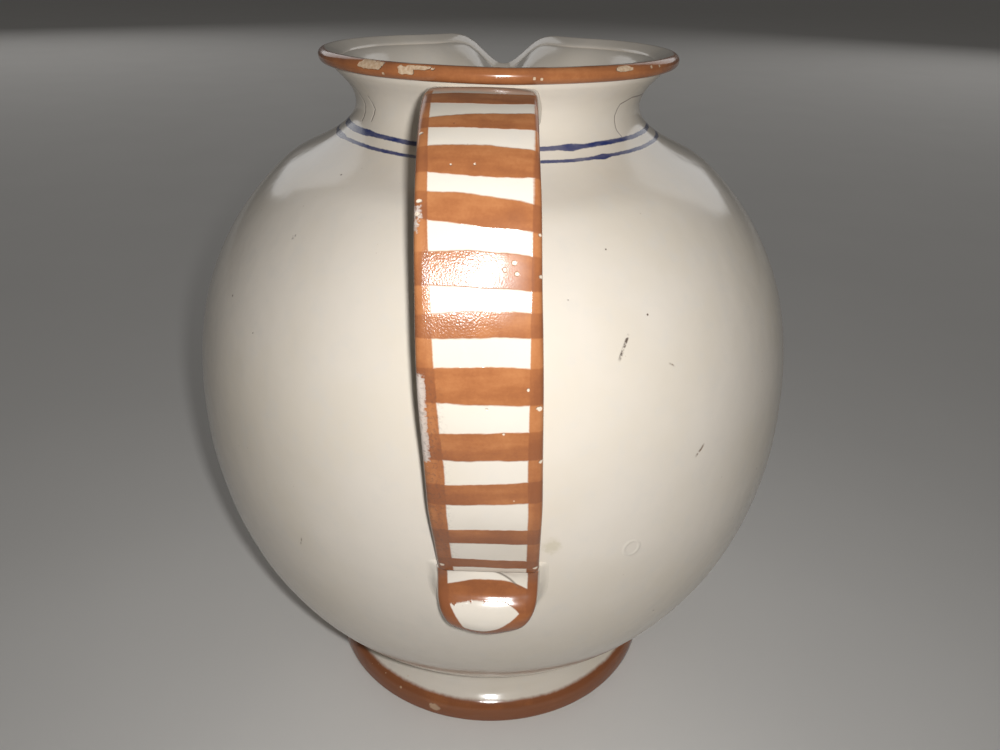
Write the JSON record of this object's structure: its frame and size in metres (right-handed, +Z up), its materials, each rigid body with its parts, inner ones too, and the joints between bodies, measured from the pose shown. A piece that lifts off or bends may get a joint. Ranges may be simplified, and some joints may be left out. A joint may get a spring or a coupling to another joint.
{
  "type": "ceramic pitcher",
  "caption": "Round-bellied glazed pitcher on a foot ring, with a flared neck, a pulled pouring spout and a flat strap handle pressed on at its lower end.",
  "frame": {"origin": "centre of the foot's resting plane, on the axis the pitcher was thrown on", "axes": "+Z up along the throwing axis, +Y towards the spout, -Y towards the handle, +X to the right for someone who faces the handle"},
  "size_m": [0.184, 0.193, 0.2046],
  "materials": {
    "cream_glaze": "gloss",
    "brown_band": "gloss",
    "striped_glaze": "gloss",
    "slip_glaze": "gloss"
  },
  "bodies": {
    "root": {"body": "cream_glaze", "neck": "cream_glaze", "rolled_lip": "brown_band", "foot_ring": "brown_band", "foot_joint_slip": "slip_glaze", "handle_strap": "striped_glaze", "handle_top_joint": "slip_glaze", "handle_tongue": "striped_glaze", "tongue_joint_slip": "slip_glaze"}
  },
  "joints": []
}
